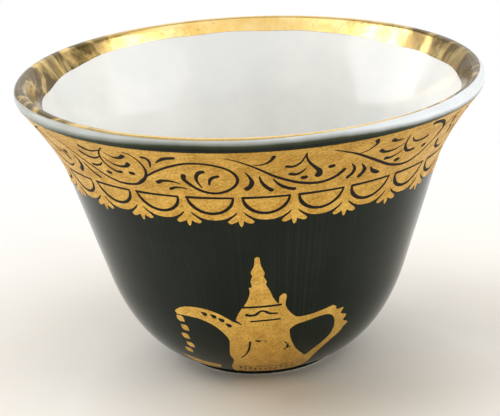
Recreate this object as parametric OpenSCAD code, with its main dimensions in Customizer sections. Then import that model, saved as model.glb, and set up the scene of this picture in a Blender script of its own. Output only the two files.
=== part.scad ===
// Arabic coffee cup: handleless porcelain cup with a flared lip and fired gold ornament
// Millimetres, +Z up, origin at the centre of the foot on the table, -Y is the front

/* [Cup] */
// Height from the table to the crest of the lip
cup_h = 41.6; // [39:0.2:46]
// Widest diameter, across the outside of the lip
lip_d = 65; // [61:0.5:70]
// Height of the flared part of the wall, from the straight wall up to the crest of the lip
flare_h = 11.9; // [10:0.1:15]
// How far the flare brings the lip out past the top of the straight wall
flare_out = 6.3; // [4:0.1:8]
// Height at which the round bowl turns into the straight wall
bowl_h = 13.9; // [11:0.1:17]
// Lean of the straight wall, in degrees from upright
wall_lean = 17.1; // [13:0.1:20]
// Lean of the wall at the lip, in degrees from upright
lip_lean = 38; // [30:1:46]
// Thickness of the wall with its glazes, also the thickness of the round lip
wall_t = 2; // [1.6:0.1:2.6]
// Thickness of the floor in the middle
floor_t = 3.6; // [3:0.1:5]

/* [Foot] */
// Outside diameter of the foot ring
foot_d = 22.4; // [20:0.2:26]
// Height of the foot ring
foot_h = 0.9; // [0.7:0.1:1.5]
// Width of the foot ring
foot_w = 2.4; // [1.8:0.1:3.2]
// Depth of the hollow inside the foot ring
recess_h = 1.3; // [0.9:0.1:2]
// Height of the foot that is left bare of glaze
bare_h = 0.4; // [0.35:0.05:0.6]
// Angle at which the bowl rises from the foot, in degrees from level
bowl_rise = 21; // [16:1:30]

/* [Glaze and gold] */
// Thickness of the glazes
glaze_thickness = 0.3; // [0.2:0.05:0.4]
// Thickness of the fired gold
gold_thickness = 0.15; // [0.1:0.01:0.2]
// Height of the gold band inside the lip
inner_band_h = 2; // [1.5:0.1:4]

/* [Border] */
// Distance from the crest of the lip down to the top of the border
border_drop = 1.6; // [1.5:0.1:3]
// Height of the scroll band
scroll_h = 7.5; // [6:0.1:9]
// Height of the row of half moons with its leaf drops
swag_h = 4.5; // [3.5:0.1:5.5]
// Number of half moons round the cup
swag_count = 24; // [16:8:32]
// Width of a plain line in the ornament
line_w = 0.28; // [0.2:0.02:0.36]

/* [Coffee pot figure] */
// Height of the coffee pot figure
figure_h = 22.2; // [16:0.2:23]
// Height of its lowest point above the table
figure_low = 1.1; // [1:0.1:3]
// Angle of the cup that the figure takes up, in degrees
figure_turn = 75; // [50:1:80]

/* [Hidden] */

porcelain_colour = "#ECEDE9";
clear_colour = "#F7F8F6";
green_colour = "#242B22";
matt_gold_colour = "#C9923F";
bright_gold_colour = "#FBD98C";

foot_r = foot_d / 2;
flare_low = cup_h - flare_h;
flare_r = lip_d / 2 - flare_out;
bowl_r = flare_r - (flare_low - bowl_h) * tan(wall_lean);
lip_r = wall_t / 2;
floor_z = recess_h + floor_t;
floor_flat_r = 4;
foot_round = 0.3;
cut_run = 1;
bowl_steps = 8;
flare_steps = 6;
lip_steps = 10;
crest_steps = 7;
gold_edge_steps = 6;
bowl_curve_shares = [0.34, 0.37];
flare_curve_shares = [0.22, 0.39];
inner_bowl_curve_shares = [0.32, 0.45];

// Curves: points are [radius, height], and a path keeps the porcelain on its left
function bezier(a, b, c, d, t) =
    a * pow(1 - t, 3) + b * 3 * t * pow(1 - t, 2) + c * 3 * t * t * (1 - t) + d * pow(t, 3);
function curve(a, b, c, d, steps) = [for (i = [0:steps]) bezier(a, b, c, d, i / steps)];
function mix(a, b, share) = a + (b - a) * share;
function unit(v) = v / norm(v);
function right_of(v) = [v.y, -v.x];
function part_of(list, from, to) = [for (i = [from:to]) list[i]];
function backwards(list) = [for (i = [len(list) - 1:-1:0]) list[i]];
function all_but_first(list) = part_of(list, 1, len(list) - 1);

// A curve that leaves a along da and reaches b along db, with its handles as shares of the way between
function blend(a, da, b, db, shares, steps) =
    let (way = norm(b - a))
    curve(a, a + da * shares[0] * way, b - db * shares[1] * way, b, steps);

// The path moved sideways: a positive distance moves it away from the porcelain
function moved(path, distance) = [
    for (i = [0:len(path) - 1])
        let (
            before = right_of(unit(path[max(i, 1)] - path[max(i, 1) - 1])),
            after = right_of(unit(path[min(i, len(path) - 2) + 1] - path[min(i, len(path) - 2)])),
            middle = unit(before + after)
        )
        path[i] + middle * distance / (middle * before)
];

// The layer that lies on a path, as thick as the distance that it is moved
function layer(path, thickness) = concat(path, backwards(moved(path, thickness)));

// Outside of the cup, from the bare foot up to the crest of the lip
wall_way = [sin(wall_lean), cos(wall_lean)];
bowl_way = [cos(bowl_rise), sin(bowl_rise)];
lip_way = [sin(lip_lean), cos(lip_lean)];
lip_centre = [lip_d / 2 - lip_r, cup_h - lip_r];
lip_foot = lip_centre + right_of(lip_way) * lip_r;
bowl_path = blend([foot_r, foot_h], bowl_way, [bowl_r, bowl_h], wall_way, bowl_curve_shares, bowl_steps);
flare_path = blend([flare_r, flare_low], wall_way, lip_foot, lip_way, flare_curve_shares, flare_steps);
lip_path = [
    for (i = [0:lip_steps])
        let (turn = 180 * i / lip_steps - lip_lean)
        lip_centre + [cos(turn), sin(turn)] * lip_r
];
rising_path = concat([[foot_r, bare_h]], bowl_path, flare_path);
outer_path = concat(rising_path, part_of(lip_path, 1, crest_steps));

// Inside of the cup, from the crest of the lip down to the middle of the floor
inner_wall = backwards(moved(concat([[bowl_r, bowl_h]], flare_path), -wall_t));
inner_bowl = blend(inner_wall[len(inner_wall) - 1], -wall_way, [floor_flat_r, floor_z], [-1, 0],
    inner_bowl_curve_shares, bowl_steps);
inner_path = concat(part_of(lip_path, crest_steps, lip_steps), all_but_first(inner_wall),
    all_but_first(inner_bowl), [[0, floor_z]]);

// Underside, from the bare inner edge of the foot ring to the middle of its hollow
recess_r = foot_r - foot_w;
base_path = [
    [0, recess_h],
    [recess_r - foot_round, recess_h],
    [recess_r, recess_h - foot_round],
    [recess_r, bare_h]
];

// Outside radius of the glazed wall at a height
widest_lip_steps = 3;
wall_heights = [for (p = concat(rising_path, part_of(lip_path, 1, widest_lip_steps))) [p.y, p.x]];
function wall_r(z) = lookup(z, wall_heights);

// Places on the wall, [angle from the front, height], seen from straight outside an angle
function seen_from(turn, places) = [for (p = places) [wall_r(p.y) * sin(p.x - turn), p.y]];

// Flat shapes drawn as seen from outside an angle, driven through the wall towards the axis
module through_wall(turn) {
    rotate([0, 0, turn])
        rotate([90, 0, 0])
            linear_extrude(height = lip_d) children();
}

// A drawn line through flat points that tapers from one width to another
module drawn_line(points, start_w, end_w) {
    last = len(points) - 1;
    sides = [
        for (i = [0:last])
            let (way = unit(points[min(i + 1, last)] - points[max(i - 1, 0)]))
            right_of(way) * mix(start_w, end_w, i / last) / 2
    ];
    polygon(concat(points + sides, backwards(points - sides)));
}

module porcelain_body() {
    skin = moved(concat(outer_path, all_but_first(inner_path)), -glaze_thickness);
    under = moved(base_path, -glaze_thickness);
    color(porcelain_colour)
        rotate_extrude()
            polygon(concat(
                under,
                [[recess_r + glaze_thickness, foot_round], [recess_r + glaze_thickness + foot_round, 0],
                 [foot_r - glaze_thickness - foot_round, 0], [foot_r - glaze_thickness, foot_round]],
                skin));
}

module clear_glaze_lining() {
    color(clear_colour)
        rotate_extrude() polygon(layer(inner_path, -glaze_thickness));
}

module clear_glaze_base() {
    color(clear_colour)
        rotate_extrude() polygon(layer(base_path, -glaze_thickness));
}

module green_glaze_coat() {
    color(green_colour)
        rotate_extrude() polygon(layer(outer_path, -glaze_thickness));
}

module inner_gold_band() {
    band_low = cup_h - inner_band_h;
    band_path = concat(part_of(lip_path, gold_edge_steps, crest_steps - 1), inner_path);
    kept = [for (p = band_path) if (p.y > band_low) p];
    last = kept[len(kept) - 1];
    next = band_path[len(kept)];
    band_end = mix(last, next, (last.y - band_low) / (last.y - next.y));
    color(bright_gold_colour)
        rotate_extrude() polygon(layer(concat(kept, [band_end]), gold_thickness));
}

// Border: drawn on a grid with one degree and one millimetre to a cell at the sizes above
swag_turn = 360 / swag_count;
cell_u = swag_turn / 15;
scroll_cell = scroll_h / 7.5;
swag_cell = swag_h / 4.5;
repeat_swags = 8;
cusp_u = -3.8;
border_top = cup_h - border_drop;
scroll_low = border_top - scroll_h;
border_low = scroll_low - swag_h;

// The gold ring is cut in level bands and upright facets, two to a half moon. The facet lines stand
// a little beside the cusps, so that none of them runs through a point of the pattern.
border_bands = 4;
border_facets = 2 * swag_count;
facet_shift_share = 0.35;
facet_ease = 1 / cos(180 / border_facets);
border_heights = [for (i = [0:border_bands]) mix(border_low, border_top, i / border_bands)];

// Stems and leaf strokes of the scroll: grid points, then the line widths at both ends as shares
stroke_shares = [
    [[[-53.5, 6.9], [-51, 6.2], [-51.8, 5.3], [-49, 4.3], [-45, 2.9], [-42, 1.8], [-38, 1],
      [-34, 0.95], [-31, 1.3], [-27, 2.9], [-24, 3.9], [-20, 5], [-16, 5.7], [-12, 5.8],
      [-8, 5.4], [-5, 4.5], [-3.7, 3.4], [-4.8, 2.1], [-7.5, 1.2], [-10.5, 0.8], [-13.5, 1],
      [-15.8, 1.8], [-17, 2.8], [-17.1, 3.7]], 0.8, 1.6],
    [[[-30, 6.9], [-27.7, 6.3], [-26.8, 5], [-27.4, 2.8]], 0.5, 1],
    [[[-45.6, 5.1], [-42, 4.4], [-39, 5.1]], 1.5, 0.4],
    [[[-42.2, 6.6], [-40, 6], [-37, 6.7]], 1.6, 0.4],
    [[[-36, 6.9], [-38, 5.8], [-38.8, 4.4], [-37.2, 3.3], [-34.3, 3.2]], 0.5, 1.6],
    [[[-37.5, 5.5], [-36, 4.4], [-33.5, 4.1], [-31, 4.6]], 0.5, 1.8],
    [[[-35.5, 6.5], [-33.2, 5.5], [-30.5, 6.2]], 1.5, 0.8],
    [[[-50.6, 3.7], [-49.1, 2.3], [-52, 1]], 0.5, 1.6],
    [[[-47.4, 3.1], [-46.3, 1.9], [-44.6, 1]], 0.6, 1.5],
    [[[-13, 1.7], [-13.8, 3.6], [-11.7, 4.5]], 0.5, 1.8],
    [[[-11, 2.1], [-10.3, 3.4], [-8.2, 3.75]], 0.6, 1.6],
    [[[-24.6, 2.1], [-21.5, 2.6], [-18.2, 2.2]], 1.8, 0.5],
    [[[-25.6, 6.5], [-24.2, 5.9], [-25, 4.4]], 1.4, 0.4],
    [[[-22.7, 5.3], [-20.3, 6.6], [-17.2, 6.6]], 0.4, 1.8],
    [[[-6.5, 6.9], [-4, 6.4], [-1, 5.5], [2, 4.5], [5, 3.5], [8.5, 2.6], [12, 1.9], [16, 1.5],
      [19, 1.6], [21.2, 2.2], [22.8, 3.1]], 0.5, 1.9],
    [[[-0.5, 5.4], [3, 5.5], [4.6, 6.8]], 0.4, 1.6],
    [[[7.6, 4.9], [9.6, 4.6], [11.6, 5.7], [11.7, 6.8]], 1.3, 0.4],
    [[[11.7, 6.8], [12.6, 5.4], [16, 3.7], [15.9, 2.8]], 0.5, 2.8],
    [[[-1.9, 4.2], [-0.4, 2.8], [-1.8, 1.6]], 0.4, 2],
    [[[1.4, 3.5], [2.6, 2.1], [4.7, 1.1]], 0.6, 1.5],
    [[[4.7, 3], [7.3, 1.6], [10.5, 1.1]], 0.6, 1.5],
    [[[18.2, 6.8], [21, 6.2], [25, 5.4], [29, 4.2], [33, 3.1], [37, 2.1], [41, 1.5], [44.5, 1.3],
      [47.5, 1.7], [50.5, 2.7], [53, 3.7], [53.6, 4.6], [51.5, 5.7], [47, 7]], 0.5, 1.3],
    [[[26, 5.3], [28.4, 5.9], [28.5, 7]], 0.4, 1.5],
    [[[31.8, 5], [35, 4.4], [39, 5.2]], 1.5, 0.4],
    [[[38.7, 6.4], [39.7, 4.9], [42, 3.5], [44.4, 3.6]], 0.6, 1.5],
    [[[40.2, 6], [44, 4.7], [47.5, 4.9]], 0.6, 1.7],
    [[[24.4, 3.7], [25.9, 2.3], [24.6, 1.5]], 0.4, 1.6],
    [[[27.4, 3.3], [28.8, 2], [27.8, 1.3]], 0.4, 1.8],
    [[[30.6, 2.4], [32, 1.7], [34.1, 1.1]], 0.6, 1.4],
    [[[-57.6, 4.2], [-56, 3.7], [-55.2, 2.8]], 0.5, 1.7],
    [[[-64, 3], [-62, 1.4], [-58, 1.2], [-53.8, 2.3]], 1.6, 0.5],
    [[[-64.5, 5], [-60.5, 6.5], [-56.5, 6.9]], 0.5, 1.2]
];
dot_shares = [[-38.7, 2.6], [-31, 3.2], [12.4, 2.8], [19.1, 3.9], [39.2, 2.4], [48.5, 3.4], [-54.4, 4]];
dot_w = 2 * line_w;

// One half moon with the leaf drop on its left, counted from the cusp
moon_middle_share = 7.5;
moon_outer_shares = [6.4, 2.75];
moon_inner_shares = [5.75, 2.35];
moon_top_shares = [-0.1, 0.12];
moon_steps = 8;
cusp_shares = [[3.9, 3.4], [2.4, 3.05], [1.3, 2.5]];
cusp_line_shares = [1.7, 0.4];
edge_shares = [[0.15, 4.5], [1.1, 3.75], [1.7, 3.95], [3.3, 3.95], [4.1, 3.55], [7.5, 3.65]];

module scroll_cuts() {
    for (turn = [0:repeat_swags * swag_turn:360 - swag_turn]) {
        for (stroke = stroke_shares) {
            middle_u = (stroke[0][0].x + stroke[0][len(stroke[0]) - 1].x) / 2 * cell_u;
            places = [for (p = stroke[0]) [p.x * cell_u, scroll_low + p.y * scroll_cell]];
            through_wall(turn + middle_u)
                drawn_line(seen_from(middle_u, places), stroke[1] * line_w, stroke[2] * line_w);
        }
        for (p = dot_shares)
            through_wall(turn + p.x * cell_u)
                translate([0, scroll_low + p.y * scroll_cell])
                    hull()
                        for (side = [-1, 1])
                            translate([side * dot_w / 4, 0]) circle(d = dot_w, $fn = 6);
    }
}

module swag_cuts() {
    function flat(points) =
        seen_from(0, [for (p = points) [(p.x - moon_middle_share) * cell_u, scroll_low - p.y * swag_cell]]);
    function mirrored(points) = [for (p = points) [2 * moon_middle_share - p.x, p.y]];
    function half_moon(half, depth, top) = [
        for (i = [0:moon_steps])
            let (turn = 180 * i / moon_steps)
            [moon_middle_share - half * cos(turn), top + (depth - top) * sin(turn)]
    ];
    edge = concat(edge_shares, all_but_first(backwards(mirrored(edge_shares))));
    for (i = [0:swag_count - 1])
        through_wall((i + 1 / 2) * swag_turn + cusp_u * cell_u) {
            difference() {
                polygon(flat(half_moon(moon_outer_shares.x, moon_outer_shares.y, moon_top_shares[0])));
                polygon(flat(half_moon(moon_inner_shares.x, moon_inner_shares.y, moon_top_shares[1])));
            }
            for (stroke = [cusp_shares, mirrored(cusp_shares)])
                drawn_line(flat(stroke), cusp_line_shares[0] * line_w, cusp_line_shares[1] * line_w);
            polygon(concat(
                flat(edge),
                [for (side = [1, -1]) [side * flat([edge[len(edge) - 1]])[0].x, border_low - cut_run]]));
        }
}

module gold_border() {
    color(matt_gold_colour)
        difference() {
            rotate([0, 0, (cusp_u + facet_shift_share) * cell_u - 90])
                rotate_extrude($fn = border_facets)
                    polygon(concat(
                        [for (z = border_heights) [(wall_r(z) + gold_thickness) * facet_ease, z]],
                        [for (z = backwards(border_heights)) [wall_r(z) * facet_ease, z]]));
            swag_cuts();
            scroll_cuts();
        }
}

// Coffee pot figure: drawn on a grid of one degree and one millimetre at the sizes above, which starts
// where the sides of the pot stand on its rounded base
figure_cell_u = figure_turn / 75;
figure_cell_v = figure_h / 22.2;
base_dip_share = 1.2;
figure_steps = 3;

// Outline of the pot, clockwise from the tip of its lid, one list for each smooth stretch
lid_right_shares = [[0, 20.95], [0.7, 20.7], [1, 19.6], [2.1, 18.4], [1.8, 17.8], [2.7, 17],
    [2.5, 16.5], [3.8, 15.4], [4.8, 14.3], [6.4, 13.25]];
thumb_shares = [[6.8, 13.3], [7, 14.3], [8.2, 14.8], [9.4, 14.5], [9.1, 13], [10.4, 11.9], [13.2, 10.8],
    [17, 10.7], [22, 11], [27.3, 11.5]];
handle_shares = [[28.9, 11.2], [29.9, 10.7], [32, 10.4], [31.9, 9.8], [34.3, 9], [34, 8.4], [36.4, 7.6],
    [35, 6.4], [31.5, 5.2], [28, 3.9], [25, 2.5]];
base_shares = [[24.4, 1.3], [21.4, -0.2], [14.9, -0.9], [7, -1.15], [-2, -1.2], [-11, -1.15],
    [-16, -0.8], [-16.6, 0.1]];
body_left_shares = [[-15.8, 1.1], [-14.4, 1.9], [-12.9, 3], [-13.7, 4.2], [-12.9, 5.9], [-12.5, 7.2],
    [-14.6, 8.6], [-18, 9.8], [-23, 10.6], [-28.8, 10.8]];
spout_shares = [[-31.6, 10.8], [-32, 11.4], [-28.5, 12.2], [-23.5, 12.45], [-18.5, 12.2], [-14, 11.5],
    [-9.3, 10.3]];
neck_shares = [[-8.8, 10.5], [-8.2, 11.3], [-6.8, 12.3], [-5.3, 13.1], [-3.8, 14.2], [-3, 15.3],
    [-3.2, 16]];
lid_left_shares = [[-2.1, 16.2], [-2.5, 17.1], [-1.9, 17.9], [-2.3, 18.5], [-1.2, 19.5], [-0.8, 20.8]];
handle_hole_shares = [[10.9, 8.7], [11.7, 7], [15, 5.1], [20.2, 3.1], [24, 4.2], [28.5, 6], [30.4, 7.8],
    [28.5, 9.5], [23.5, 10], [17, 9.6], [13.4, 9.2]];

// Lines left open in the figure, with their widths as shares of the plain line
figure_line_shares = [
    [[[-6, 12.85], [0, 12.9], [7.4, 13.05]], 0.75],
    [[[-4.4, 11.5], [-2.5, 11.45], [-1, 11.6], [0.6, 12.1], [2, 12], [3.8, 11.6], [6.3, 11.55]], 0.9],
    [[[-3.3, 10.4], [7.2, 10.6]], 0.6],
    [[[-9.6, 10.5], [-7.1, 10]], 0.8],
    [[[-4.3, 6.7], [-5, 5.4], [-6.6, 4.3], [-8.7, 3.6]], 0.7]
];
spout_mark_shares = [[-20.4, 11.45], [-17, 11.15], [-14.2, 10.55], [-11.7, 9.7]];
spout_mark_w_share = 1.4;

// Drops of coffee under the spout: place, half width and half height
drop_shares = [[[-30.4, 10], 1.6, 0.75], [[-30, 8.6], 1.6, 0.7], [[-31.4, 6.85], 1.8, 0.7],
    [[-31, 5.2], 1.5, 0.65], [[-34.4, 3.9], 2.3, 0.5]];
small_cup_shares = [[-40.5, 2.3], [-35, 1.8], [-29.7, 1.3], [-22, 1.2], [-24, 0.4], [-30, 0.2], [-36, 0.6]];

// Points on a smooth curve through all the places of a list
function smooth(list, steps) = concat(
    [for (i = [0:len(list) - 2])
        let (
            a = list[i],
            b = list[i + 1],
            way_a = (b - list[max(i - 1, 0)]) / 6,
            way_b = (list[min(i + 2, len(list) - 1)] - a) / 6
        )
        for (k = [0:steps - 1]) bezier(a, a + way_a, b - way_b, b, k / steps)],
    [list[len(list) - 1]]);

// Figure grid points as places on the wall, and smooth outlines through them as seen from the front
function figure_places(list) = [
    for (p = list) [p.x * figure_cell_u, figure_low + (p.y + base_dip_share) * figure_cell_v]
];
function figure_outline(list) = seen_from(0, figure_places(smooth(list, figure_steps)));

module pot_outline() {
    stretches = [lid_right_shares, thumb_shares, handle_shares, base_shares, body_left_shares,
        spout_shares, neck_shares, lid_left_shares];
    difference() {
        polygon([for (stretch = stretches) each figure_outline(stretch)]);
        polygon(figure_outline(concat(handle_hole_shares, [handle_hole_shares[0]])));
        for (line = figure_line_shares)
            drawn_line(figure_outline(line[0]), line[1] * line_w, line[1] * line_w);
        for (p = spout_mark_shares)
            translate(seen_from(0, figure_places([p]))[0])
                rotate(45) square(spout_mark_w_share * line_w, center = true);
    }
}

module drops_and_small_cup() {
    for (drop = drop_shares)
        polygon(seen_from(0, figure_places([
            for (turn = [0:45:315]) drop[0] + [drop[1] * cos(turn), drop[2] * sin(turn)]
        ])));
    polygon(figure_outline(small_cup_shares));
}

module coffee_pot_figure() {
    figure_top = figure_low + figure_h;
    figure_heights = concat([figure_low],
        [for (p = rising_path) if (p.y > figure_low && p.y < figure_top) p.y], [figure_top]);
    color(matt_gold_colour)
        intersection() {
            rotate_extrude()
                polygon(concat(
                    [for (z = figure_heights) [wall_r(z) + gold_thickness, z]],
                    [for (z = backwards(figure_heights)) [wall_r(z), z]]));
            through_wall(0) {
                pot_outline();
                drops_and_small_cup();
            }
        }
}

porcelain_body();
clear_glaze_lining();
clear_glaze_base();
green_glaze_coat();
inner_gold_band();
gold_border();
coffee_pot_figure();
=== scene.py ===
# %% [markdown]
# # A porcelain coffee cup with fired gold
# This lesson dresses a small handleless coffee cup. The real cup is thrown and turned porcelain with a dark
# green glaze outside, a clear glaze inside, and gold fired on last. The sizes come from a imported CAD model,
# which stays as it is: each finished piece here takes the place of one CAD piece and keeps to its space.

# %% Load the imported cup
import math

import bpy
import numpy as np
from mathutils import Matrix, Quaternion, Vector
from mathutils.geometry import delaunay_2d_cdt


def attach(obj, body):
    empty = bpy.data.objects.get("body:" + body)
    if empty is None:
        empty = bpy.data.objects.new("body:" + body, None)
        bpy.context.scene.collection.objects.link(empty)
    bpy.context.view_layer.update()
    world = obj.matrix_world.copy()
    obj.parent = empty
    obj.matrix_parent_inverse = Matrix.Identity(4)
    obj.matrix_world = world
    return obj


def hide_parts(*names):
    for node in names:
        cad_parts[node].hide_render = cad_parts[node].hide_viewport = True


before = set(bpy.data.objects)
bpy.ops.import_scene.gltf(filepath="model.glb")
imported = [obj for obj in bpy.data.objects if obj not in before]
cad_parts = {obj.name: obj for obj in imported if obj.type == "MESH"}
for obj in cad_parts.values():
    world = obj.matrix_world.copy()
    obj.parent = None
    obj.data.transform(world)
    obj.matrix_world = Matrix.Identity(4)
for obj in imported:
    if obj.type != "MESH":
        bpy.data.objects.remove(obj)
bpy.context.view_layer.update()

MM = 0.001
MICRON = 0.000001
print("CAD pieces:", sorted(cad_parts))

# %% [markdown]
# ## The outline of the cup
# A turned cup is one outline spun round an axis. The outline could be traced point by point, but then no
# part of it could be changed alone. So it is drawn as a potter would describe it: a straight leaning wall, a
# bowl under it, a flare over it and a round lip, each joined to the next along the same direction.

# %% Sizes of the cup, in millimetres and degrees
cup_h = 41.6
lip_d = 64.98
flare_h = 11.9
flare_out = 6.3
bowl_h = 13.9
wall_lean = math.radians(17.1)
lip_lean = math.radians(38)
wall_t = 2.0
floor_t = 3.6
foot_d = 22.4
foot_h = 0.9
foot_w = 2.4
foot_round = 0.3
recess_h = 1.3
bare_h = 0.4
bowl_rise = math.radians(21)
floor_flat_r = 4.0
glaze_t = 0.3
gold_t = 0.15

foot_r = foot_d / 2
flare_low = cup_h - flare_h
flare_r = lip_d / 2 - flare_out
bowl_r = flare_r - (flare_low - bowl_h) * math.tan(wall_lean)
lip_r = wall_t / 2
floor_z = recess_h + floor_t
recess_r = foot_r - foot_w
print("wall starts at radius", round(bowl_r, 2), "and the flare at", round(flare_r, 2))

# %% [markdown]
# ## Curves that a potter would draw
# Between two straight runs the clay turns in one soft curve. A circle arc would meet the wall at a corner, so
# each curve is a Bezier: it leaves one point along its direction and reaches the next along its own. Layers
# of glaze are the same curve again, moved sideways by their thickness.

# %% Curves: every path is an array of [radius, height]
bowl_steps, flare_steps, lip_steps = 26, 24, 30
lip_crest_share = 0.71
bowl_bend, flare_bend, floor_bend = (0.34, 0.37), (0.22, 0.39), (0.32, 0.45)


def bezier(a, c, d, b, t):
    """Points at the shares t of a curve from a to b, which c and d pull towards them."""
    return a * (1 - t) ** 3 + c * 3 * t * (1 - t) ** 2 + d * 3 * t ** 2 * (1 - t) + b * t ** 3


def blend(a, a_way, b, b_way, shares, steps):
    """A curve that leaves a along a_way and reaches b along b_way."""
    a, b, a_way, b_way = (np.array(v, float) for v in (a, b, a_way, b_way))
    way = np.linalg.norm(b - a)
    handles = a + a_way * shares[0] * way, b - b_way * shares[1] * way
    return bezier(a, *handles, b, np.linspace(0, 1, steps + 1)[:, None])


def moved(path, distance):
    """The path moved sideways, away from the porcelain where the distance is positive."""
    step = np.diff(path, axis=0)
    step /= np.linalg.norm(step, axis=1)[:, None]
    before = np.vstack([step[:1], step])
    after = np.vstack([step, step[-1:]])
    middle = before + after
    middle /= np.linalg.norm(middle, axis=1)[:, None]
    out, before_out = (way[:, ::-1] * [1, -1] for way in (middle, before))
    return path + out * distance / (out * before_out).sum(1)[:, None]


def layer(path, thickness):
    """The closed outline of a layer that lies on a path."""
    return np.vstack([path, moved(path, thickness)[::-1]])


def run_along(path):
    """How far along a path each of its points is."""
    return np.concatenate([[0], np.cumsum(np.linalg.norm(np.diff(path, axis=0), axis=1))])


print("a bowl is drawn in", bowl_steps, "steps, a flare in", flare_steps, "and a lip in", lip_steps)

# %% The paths outside, inside and under the cup
wall_way = [math.sin(wall_lean), math.cos(wall_lean)]
bowl_way = [math.cos(bowl_rise), math.sin(bowl_rise)]
lip_way = [math.sin(lip_lean), math.cos(lip_lean)]
lip_centre = np.array([lip_d / 2 - lip_r, cup_h - lip_r])
lip_foot = lip_centre + np.array([lip_way[1], -lip_way[0]]) * lip_r

bowl_path = blend([foot_r, foot_h], bowl_way, [bowl_r, bowl_h], wall_way, bowl_bend, bowl_steps)
flare_path = blend([flare_r, flare_low], wall_way, lip_foot, lip_way, flare_bend, flare_steps)
lip_turns = np.linspace(0, math.pi, lip_steps + 1) - lip_lean
lip_path = lip_centre + np.column_stack([np.cos(lip_turns), np.sin(lip_turns)]) * lip_r
crest = round(lip_crest_share * lip_steps)

rising_path = np.vstack([[[foot_r, bare_h]], bowl_path, flare_path])
outer_path = np.vstack([rising_path, lip_path[1:crest + 1]])
inner_wall = moved(np.vstack([[[bowl_r, bowl_h]], flare_path]), -wall_t)[::-1]
inner_bowl = blend(inner_wall[-1], [-wall_way[0], -wall_way[1]], [floor_flat_r, floor_z], [-1, 0],
                   floor_bend, bowl_steps)
inner_path = np.vstack([lip_path[crest:], inner_wall[1:], inner_bowl[1:], [[0, floor_z]]])
base_path = np.array([[0, recess_h], [recess_r - foot_round, recess_h],
                      [recess_r, recess_h - foot_round], [recess_r, bare_h]])
print("outer path:", len(outer_path), "points, inner path:", len(inner_path))

# %% [markdown]
# ## Spinning a piece
# Each clay or glaze layer is a closed outline turned once round the axis. Blender's spin tool does what the
# wheel does. The outline is made as by hand: one vertex is extruded from point to point, then spun, and the
# seam and the poles are merged before the normals are made to point outwards.

# %% Helpers that spin an outline, and seat a finished piece
SPIN_STEPS = 192
MERGE = 1e-6
SPUN_EDGE = math.radians(40)


def turned(name, outline):
    """A piece spun from a closed outline of [radius, height] in millimetres."""
    bpy.ops.object.select_all(action="DESELECT")
    bpy.ops.mesh.primitive_plane_add(size=MM)
    piece = bpy.context.object
    piece.name = piece.data.name = name
    bpy.ops.object.mode_set(mode="EDIT")
    bpy.ops.mesh.select_all(action="SELECT")
    bpy.ops.mesh.merge(type="CENTER")
    points = [Vector((r, 0, z)) * MM for r, z in outline]
    bpy.ops.transform.translate(value=points[0])
    for here, there in zip(points, points[1:] + points[:1]):
        bpy.ops.mesh.extrude_vertices_move(TRANSFORM_OT_translate={"value": there - here})
    bpy.ops.mesh.select_all(action="SELECT")
    bpy.ops.mesh.spin(steps=SPIN_STEPS, angle=math.tau, center=(0, 0, 0), axis=(0, 0, 1))
    bpy.ops.mesh.select_all(action="SELECT")
    bpy.ops.mesh.remove_doubles(threshold=MERGE)
    bpy.ops.mesh.dissolve_degenerate(threshold=MERGE)
    bpy.ops.mesh.normals_make_consistent(inside=False)
    bpy.ops.object.mode_set(mode="OBJECT")
    bpy.ops.object.shade_smooth_by_angle(angle=SPUN_EDGE)
    print(name, len(piece.data.polygons), "faces")
    return piece


def seat(piece, material, node):
    """Gives a finished piece its material and body, and hides the CAD node that it stands for."""
    piece.data.materials.append(material)
    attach(piece, "root")
    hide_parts(node)
    print(piece.name, "has the finish", material.name)


print("each outline is spun in", SPIN_STEPS, "steps of", 360 / SPIN_STEPS, "degrees")

# %% [markdown]
# ## The clay
# Under the glaze is the turned clay itself. It shows only as a bare ring under the foot, where the glaze is
# wiped off so that the cup doesn't stick in the kiln. Its outline is the outer and the inner path, both moved
# in by the thickness of the glaze, closed under the foot by the ring that the cup stands on.

# %% Spinning the clay
under = moved(base_path, -glaze_t)
skin = moved(np.vstack([outer_path, inner_path[1:]]), -glaze_t)
ring = [[recess_r + glaze_t, foot_round], [recess_r + glaze_t + foot_round, 0],
        [foot_r - glaze_t - foot_round, 0], [foot_r - glaze_t, foot_round]]
clay = turned("porcelain_cup", np.vstack([under, ring, skin]))

# %% [markdown]
# ## Three coats of glaze
# The clear glaze lines the cup and covers the hollow under it, and the green glaze covers the outside. They
# could be one skin with painted borders, but three closed layers are truer: each has its own thickness and
# its own edge, and a ray of light finds a solid coat.

# %% Spinning the glazes
lining = turned("clear_lining", layer(inner_path, -glaze_t))
base_glaze = turned("clear_base", layer(base_path, -glaze_t))
coat = turned("green_coat", layer(outer_path, -glaze_t))

# %% [markdown]
# ## The gold inside the lip
# A brush held against the turning cup leaves a band of gold over the lip. Its edges waver, because a hand
# holds the brush. So the band is spun as an even layer first, and then each of its vertices slides along the
# wall until the edges reach the heights listed here for places round the cup, in degrees from the front.

# %% Heights of the band's two edges, and the even band
gold_edge_share = 0.33
band_turns = [-180, -140, -122, -100, -80, -70, -50, 0, 30, 60, 90, 135, 152, 180]
band_heights = [1.8, 1.8, 2.3, 3, 2.9, 2.7, 2.4, 2.1, 2, 2.1, 2.4, 2.4, 1.9, 1.8]
band_starts = [0.62, 0.6, 0.4, 0, 0, 0.4, 0.66, 0.7, 1.05, 1.22, 0.87, 0.72, 0.62, 0.62]
band_spare = 0.5
band_t = gold_t / 3
band_path = np.vstack([lip_path[round(gold_edge_share * lip_steps):], inner_wall[1:]])
band_path = band_path[band_path[:, 1] > cup_h - max(band_heights) - band_spare]
band = turned("lip_band", layer(band_path, band_t))

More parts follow.
